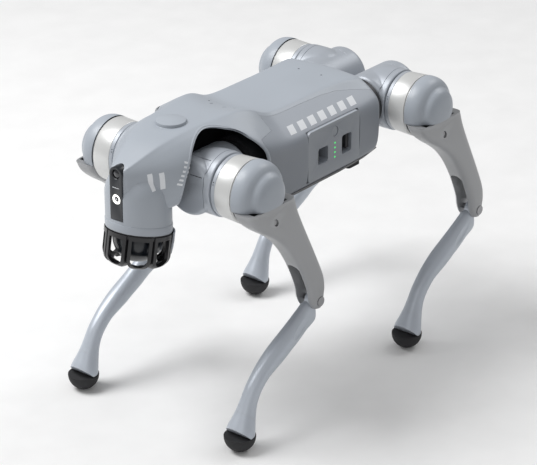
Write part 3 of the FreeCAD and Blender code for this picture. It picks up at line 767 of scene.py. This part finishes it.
def make_marks():
    """Plain painted bars on the left flank, the cheek and beside the front arch."""
    inward = Vector((0, -0.525, -0.851))
    edge = Vector((0, 0.851, -0.525))
    for index in range(7):
        x = 66 - 22.5 * index
        top, foot = Vector((x, 78, 40)), Vector((x + 4.5, 78, 40)) + edge * 14.5
        wide = Vector((-13.5, 0, 0))
        mark = surface_mark(f"flank_mark_{index + 1}", surface,
                            (top, top + wide, foot + wide, foot), inward)
        place(mark, "trunk", WHITE_PRINT_AND_GLINT)
    sideways = Vector((0, -1, 0))
    for index, x in enumerate((294, 281.5)):
        corners = [(x + 2.8, 0, 35), (x - 2.8, 0, 36), (x - 2.8, 0, 13.5), (x + 2.8, 0, 12.5)]
        place(surface_mark(f"cheek_mark_{index + 1}", surface, corners, sideways),
              "trunk", WHITE_PRINT_AND_GLINT)
    for index in range(6):
        x, z = 246.5 + 2.6 * index, 44 - 5.4 * index
        corners = [(x, 0, z), (x + 1, 0, z - 2.6), (x + 7.5, 0, z - 0.2), (x + 6.5, 0, z + 2.4)]
        place(surface_mark(f"arch_tick_{index + 1}", surface, corners, sideways),
              "trunk", WHITE_PRINT_AND_GLINT)


def make_battery_details():
    """Row of charge lamps on the battery's face."""
    face = battery_high.y
    for index, z in enumerate((-5, -12, -19, -26)):
        lamp = drum(f"charge_lamp_{index + 1}", 1.5, face - 0.6, face + 0.15, "Y", (-17, 0, z), 24)
        place(rounded(lamp, 0.3), "battery", GREEN)


make_head_details()
make_scanner_cover()
make_marks()
make_battery_details()

# ---- finishes of the pieces kept from the frame -------------------------------------------
KEPT = {"trunk_frame": DARK, "belly_plate": DARK, "belly_pads": RUBBER, "abduction_motors": MOTOR,
        "control_board": BOARD, "shell_screws": STEEL, "scanner_body": DARK,
        "scanner_dome": WINDOW, "scanner_guard": GUARD, "battery_case": FLANK,
        "battery_latch_front": DARK, "battery_latch_rear": DARK, "power_button": FLANK}
LEG_KEPT = {"hip_motor": MOTOR, "calf_motor": MOTOR, "knee_pin": STEEL, "knee_crank": STEEL,
            "knee_rod": ALLOY}
for end in ("front", "rear"):
    for side in ("left", "right"):
        for node, material in LEG_KEPT.items():
            KEPT[f"{end}_{side}_{node}"] = material
for name, material in KEPT.items():
    node = bpy.data.objects[name]
    for piece in [node, *node.children_recursive]:
        if piece.type == "MESH":
            piece.data.materials.clear()
            piece.data.materials.append(material)

# ---- legs ---------------------------------------------------------------------------------
HUB_FACE_Y = 120.4
THIGH_ROWS = [        # s below the hip, back n, front n, inner y, outer y, squareness
    (-42, -43, 44.5, HUB_FACE_Y, 156, 5.0),
    (-14, -45, 46, HUB_FACE_Y, 156.5, 5.0),
    (8, -45.2, 46, HUB_FACE_Y, 157, 5.0),
    (30, -39, 38, 121.2, 158, 4.6),
    (55, -33, 25, 122.8, 159.3, 4.2),
    (80, -30.6, 15, 124, 159.9, 4.0),
    (110, -29.7, 8.8, 125, 160, 3.8),
    (145, -28.8, 6.4, 125.2, 160, 3.8),
    (182, -27.2, 8.6, 125.2, 159.8, 3.8),
    (200, -22.5, 13.5, 125.5, 159.5, 3.8),
    (212, -14.5, 14.2, 126, 159, 3.6),
    (219, -8.5, 12.0, 126.5, 158.6, 3.4),
    (223, -3.0, 7.5, 128, 157.4, 3.0),
]
CALF_ROWS = [         # s below the knee, centre n, half depth, half width, squareness
    (8, -3, 11, 9.0, 2.6),
    (20, -8, 18.8, 9.3, 2.6),
    (40, -2, 17.2, 10.5, 2.5),
    (60, 3.5, 16.2, 12.1, 2.4),
    (80, 10, 15.4, 12.8, 2.4),
    (97, 15, 14.9, 12.9, 2.4),
    (115, 20, 13.2, 12.3, 2.3),
    (130, 23, 11.7, 11.7, 2.2),
    (153, 22.5, 11.8, 11.4, 2.1),
    (170, 17.5, 13.2, 12.1, 2.0),
    (184, 11, 16.0, 14.2, 2.0),
    (196, 5.5, 19.0, 17.3, 2.0),
    (206, 2.0, 20.6, 20.2, 2.0),
    (213, 0.0, 21.0, 21.0, 2.0),
]
CAP_EDGE_Z = -14.0
CAVITY = (131.5, 151.5)
LEVER = 14.0
LEVER_ANGLE = math.radians(168.0)
LEVER_EYE_RADIUS = 5.2
LEVER_INNER_Y = 139.4
SCREW_SEAT = Vector((13.0, 0.0, -34.0))
HIP_RADIUS = 39.6
HIP_HALF_LENGTH = 43.5
HIP_FACE_Y = 84.2


def limb(name, rows, centre_y=None, steps=5, count=48):
    """Long form with a smooth run of level sections."""
    rings = []
    for row in smooth_path(rows, steps):
        if centre_y is None:
            s, n0, n1, y0, y1, power = row
            rings.append(oval_ring(s, (n0 + n1) / 2, (n1 - n0) / 2, (y0 + y1) / 2,
                                   (y1 - y0) / 2, power, count))
        else:
            s, n, half_n, half_y, power = row
            rings.append(oval_ring(s, n, half_n, centre_y, half_y, power, count))
    return from_rings(name, rings)


def make_hip():
    """Housing on the swing axis, blended into the thigh motor's drum; front left hip."""
    boss = drum("hip", HIP_RADIUS, -HIP_HALF_LENGTH, HIP_HALF_LENGTH, "X", (0, SWING_Y, 0))
    rounded(boss, 7.0, 4, 60)
    barrel_profile = smooth_path([(0, SWING_Y - 14), (30, SWING_Y - 14), (39, SWING_Y - 9),
                                  (43.6, SWING_Y + 3), (44.8, SWING_Y + 14),
                                  (44.9, 78), (44.6, HIP_FACE_Y)], 5)
    barrel = revolved("barrel", barrel_profile + [(0, HIP_FACE_Y)])
    combine(boss, "UNION", barrel)
    remeshed(boss, 1.1, 7)
    combine(boss, "INTERSECT", block("limit", -60, 60, 6.8, 84.0, -60, 60))
    groove = revolved("groove", [(43.9, 74.2), (48, 74.2), (48, 75.0), (43.9, 75.0)], 96, True)
    stub = drum("stub", 12, -52.2, -40, "X", (0, SWING_Y, 0), 48)
    combine(boss, "DIFFERENCE", groove)
    combine(boss, "UNION", stub)
    for low, high, width in ((16, 26, 1.1), (30, 71, 0.9)):
        mark = block("mark", -width / 2, width / 2, low, high, 40, 50)
        combine(boss, "DIFFERENCE", turned(mark, math.radians(31)))
    panel_edge = block("panel_edge", -0.5, 0.5, 52, 72, 40, 50)
    combine(boss, "DIFFERENCE", turned(panel_edge, math.radians(64)))
    return boss


def make_ring_parts():
    """Thin painted band beside the gap and the silver motor ring."""
    band = revolved("band", [(38, 85.6), (42.2, 85.6), (43.1, 86.4), (43.3, 91.4), (42.9, 91.8),
                             (38, 91.8)], 128, True)
    for angle in (37, 41.5):
        hole = drum("dot", 0.9, 40, 46, "Z", (0, 0, 0), 16)
        hole.data.transform(Matrix.Rotation(math.radians(angle), 4, "Y")
                            @ Matrix.Translation((0, 88.6, 0)))
        combine(band, "DIFFERENCE", hole)
    silver = revolved("silver", [(38, 92.0), (43.0, 92.0), (43.4, 92.5), (44.7, 117.8),
                                 (44.3, 118.6), (43.2, 119.0), (43.2, HUB_FACE_Y),
                                 (38, HUB_FACE_Y)],
                      128, True)
    return band, silver


def make_thigh():
    """Casting from the hub to the knee, hollow for the rod and open at the knee."""
    body = limb("thigh", THIGH_ROWS)
    top = turned(block("top", -FAR, FAR, -FAR, FAR, CAP_EDGE_Z, FAR), -THIGH_REST)
    inner = drum("hub_room", 38, 100, CAVITY[1] + 1.5)
    combine(body, "DIFFERENCE", top, inner)
    window = block("window", -3, 80, *CAVITY, -FAR, -146)
    rounded_front = drum("window_top", (CAVITY[1] - CAVITY[0]) / 2, -3, 80, "X",
                         (0, sum(CAVITY) / 2, -146))
    slot = block("slot", -80, 80, *CAVITY, -FAR, -181.5)
    channel = block("channel", -23.5, -3.5, *CAVITY, -182, -20)
    deep = block("deep", -4.5, 4.5, *CAVITY, -182, -140)
    pin = drum("pin_seat", 7.1, 157.7, 170, "Y", (0, 0, -LINK), 48)
    bore = drum("pin_bore", 4.0, 100, 160, "Y", (0, 0, -LINK), 48)
    combine(body, "DIFFERENCE", window, rounded_front, slot, channel, deep, pin, bore)
    well = drum("well", 4.2, 154, 170, "Y", (0, 0, 0), 32)
    well.data.transform(Matrix.Translation(SCREW_SEAT) @ Matrix.Scale(1.35, 4, (0, 0, 1)))
    combine(body, "DIFFERENCE", well)
    rounded(body, 0.7, 2, 40)
    return body


def make_cap():
    """Domed cover over the calf motor's end, cut off above the casting."""
    outer = smooth_path([(45.0, 120.9), (45.3, 124), (45.0, 130), (43.6, 136), (40.6, 141),
                         (36.8, 144.3), (34.2, 146.0), (32.4, 148.0), (30.6, 151.2), (27.4, 154.8),
                         (21.5, 157.8), (12, 159.5), (0, 160)], 5)
    inner = [(0, 156.5), (20, 154.5), (30, 147), (38, 138), (41.5, 130), (41.6, 120.9)]
    cap = revolved("cap", outer + inner)
    below = turned(block("below", -FAR, FAR, -FAR, FAR, -FAR, CAP_EDGE_Z + 0.5), -THIGH_REST)
    combine(cap, "DIFFERENCE", below)
    rounded(cap, 0.5, 2, 50)
    return cap


def make_calf():
    """Lower leg with the knee's knuckle and the lever that the push rod turns."""
    calf = limb("calf", CALF_ROWS, LEG_Y)
    level = turned(block("level", -FAR, FAR, -FAR, FAR, -FAR, 1.6), -CALF_REST)
    level.data.transform(Matrix.Translation((0, 0, -LINK)))
    rod_room = block("rod_room", -60, 60, 120, LEVER_INNER_Y, -13, 60)
    combine(calf, "DIFFERENCE", level, rod_room)
    # scooped pocket on the outer side below the knee
    scoop = limb("scoop", [(12, -6, 7, 4, 2.4), (24, -2, 9, 5, 2.4), (40, 1.5, 9, 5, 2.4),
                           (56, 5, 8, 4.4, 2.2), (66, 7, 3, 2, 2.0)], LEG_Y + 14.2, 5, 32)
    combine(calf, "DIFFERENCE", scoop)
    knuckle = drum("knuckle", 12.0, 140.2, 151.0, "Y", (0, 0, 0), 64)
    lever_x, lever_z = LEVER * math.sin(LEVER_ANGLE), -LEVER * math.cos(LEVER_ANGLE)
    eye = drum("eye", LEVER_EYE_RADIUS, LEVER_INNER_Y, 145, "Y", (lever_x, 0, lever_z), 48)
    arm = block("arm", lever_x - LEVER_EYE_RADIUS, lever_x + LEVER_EYE_RADIUS, LEVER_INNER_Y, 145,
                0, lever_z)
    pin = drum("lever_pin", 3.0, 133.9, 140, "Y", (lever_x, 0, lever_z), 32)
    combine(calf, "UNION", knuckle, eye, arm, pin)
    combine(calf, "DIFFERENCE", drum("bore", 4.05, 100, 200, "Y", (0, 0, 0), 48))
    # ring line at the ankle
    ring_line = limb("ring_line", [(188.0, 8.8, 30, 30, 2.0), (188.9, 8.4, 30, 30, 2.0)], LEG_Y, 1)
    keep = limb("keep", [(186, 9.9, 16.1, 14.3, 2.0), (191, 7.9, 17.2, 15.5, 2.0)], LEG_Y, 1)
    combine(ring_line, "DIFFERENCE", keep)
    combine(calf, "DIFFERENCE", ring_line)
    for s, n in ((181, 6), (193, -4)):
        hole = drum("ankle_hole", 2.3, LEG_Y - 30, LEG_Y - 12.2, "Y", (n, 0, -s), 24)
        combine(calf, "DIFFERENCE", hole)
    rounded(calf, 0.35, 2, 40)
    return calf


def make_foot():
    """Rubber boot: lower half of the ball with a soft upper lip."""
    level = turned(block("level", -FAR, FAR, -FAR, FAR, 1.2, FAR), -CALF_REST)
    ball = revolved("boot", [(FOOT_RADIUS * math.sin(math.pi * i / 48),
                              -FOOT_RADIUS * math.cos(math.pi * i / 48)) for i in range(49)], 96)
    ball.data.transform(Matrix.Rotation(math.pi / 2, 4, "X"))
    combine(ball, "DIFFERENCE", level)
    ball.data.transform(Matrix.Translation((0, LEG_Y, -LINK)))
    rounded(ball, 0.9, 3, 50)
    return ball


def leg_matrices(front, left):
    """Placing matrices of the hip, thigh and calf meshes of one leg."""
    hip = Matrix.Translation((HIP_X if front else -HIP_X, 0, 0))
    side = Matrix.Identity(4) if left else MIRROR_Y
    end = Matrix.Identity(4) if front else MIRROR_X
    knee = Matrix.Translation((-LINK * math.sin(THIGH_REST), 0, -LINK * math.cos(THIGH_REST)))
    thigh = Matrix.Rotation(THIGH_REST, 4, "Y")
    calf = knee @ Matrix.Rotation(CALF_REST, 4, "Y")
    return side @ hip @ end, side @ hip @ thigh, side @ hip @ calf


def make_legs():
    hip_mesh, thigh_mesh, cap_mesh = make_hip(), make_thigh(), make_cap()
    band_mesh, silver_mesh = make_ring_parts()
    calf_mesh, foot_mesh = make_calf(), make_foot()
    screw_mesh = drum("screw", 3.6, 153.5, 156.6, "Y", tuple(SCREW_SEAT), 24)
    for end in ("front", "rear"):
        for side in ("left", "right"):
            leg = f"{end}_{side}"
            hip, thigh, calf = leg_matrices(end == "front", side == "left")
            for mesh, label, body, paint, slot, nodes, matrix in (
                    (hip_mesh, "hip_cover", "hip", HIP, "hip_grey", ("hip_housing",), hip),
                    (thigh_mesh, "thigh_casting", "thigh", THIGH, "thigh_grey",
                     ("thigh_frame",), thigh),
                    (band_mesh, "hub_band", "thigh", HIP, "thigh_grey", (), thigh),
                    (silver_mesh, "motor_ring", "thigh", SILVER, "thigh_grey", (), thigh),
                    (cap_mesh, "hub_cap", "thigh", SHELL, "shell_grey", ("thigh_cap",), thigh),
                    (screw_mesh, "cap_screw", "thigh", STEEL, "screw_steel", (), thigh),
                    (calf_mesh, "calf_shell", "calf", CALF, "calf_grey", ("calf_link",), calf),
                    (foot_mesh, "foot_boot", "calf", RUBBER, "rubber_black", ("foot",), calf)):
                piece = copy_of(mesh, f"{leg}_{label}")
                nodes = [f"{leg}_{node}" for node in nodes]
                place(piece, f"{leg}_{body}", paint, nodes, matrix)
    for mesh in (hip_mesh, thigh_mesh, cap_mesh, band_mesh, silver_mesh, calf_mesh, foot_mesh,
                 screw_mesh):
        bpy.data.objects.remove(mesh)


make_legs()

# ---- camera, floor, lights ----------------------------------------------------------------
CAMERA_LENS = 161.4
CAMERA_SENSOR = 36.0
CAMERA_PLACE = (2.43794, 1.92839, 1.27110)
CAMERA_YAW = 218.413
CAMERA_PITCH = -24.770
SKY_STRENGTH = 0.36
LIGHTS = (("key", (1.2, -1.6, 2.6), 1.8, 95.0),
          ("fill", (2.6, 1.6, 1.6), 2.0, 9.0),
          ("rim", (-2.2, 0.6, 2.2), 1.6, 22.0))


def set_stage():
    """Camera, floor, sky and lights, all placed from the trunk's centre."""
    centre = TRUNK / 1000.0
    camera = bpy.data.objects.new("camera", bpy.data.cameras.new("camera"))
    bpy.context.scene.collection.objects.link(camera)
    camera.data.lens = CAMERA_LENS
    camera.data.sensor_width = CAMERA_SENSOR
    camera.data.clip_start, camera.data.clip_end = 0.1, 60.0
    camera.location = centre + Vector(CAMERA_PLACE)
    yaw, pitch = math.radians(CAMERA_YAW), math.radians(CAMERA_PITCH)
    look = Vector((math.cos(pitch) * math.cos(yaw), math.cos(pitch) * math.sin(yaw),
                   math.sin(pitch)))
    camera.rotation_mode = "QUATERNION"
    camera.rotation_quaternion = look.to_track_quat("-Z", "Y")
    bpy.context.scene.camera = camera
    floor = from_faces("floor", [(-30, -30, 0), (30, -30, 0), (30, 30, 0), (-30, 30, 0)],
                       [(0, 1, 2, 3)])
    floor.data.materials.append(finish_material("floor_white", (0.9, 0.9, 0.9), 0.8, bump=0.0))
    world = bpy.data.worlds.new("studio")
    world.use_nodes = True
    world.node_tree.nodes["Background"].inputs["Color"].default_value = (1, 1, 1, 1)
    world.node_tree.nodes["Background"].inputs["Strength"].default_value = SKY_STRENGTH
    bpy.context.scene.world = world
    for name, place_at, size, power in LIGHTS:
        light = bpy.data.objects.new(name, bpy.data.lights.new(name, "AREA"))
        light.data.size = size
        light.data.energy = power
        light.location = centre + Vector(place_at)
        light.rotation_mode = "QUATERNION"
        light.rotation_quaternion = (-Vector(place_at)).to_track_quat("-Z", "Y")
        bpy.context.scene.collection.objects.link(light)
    bpy.context.scene.view_settings.view_transform = "Standard"


set_stage()
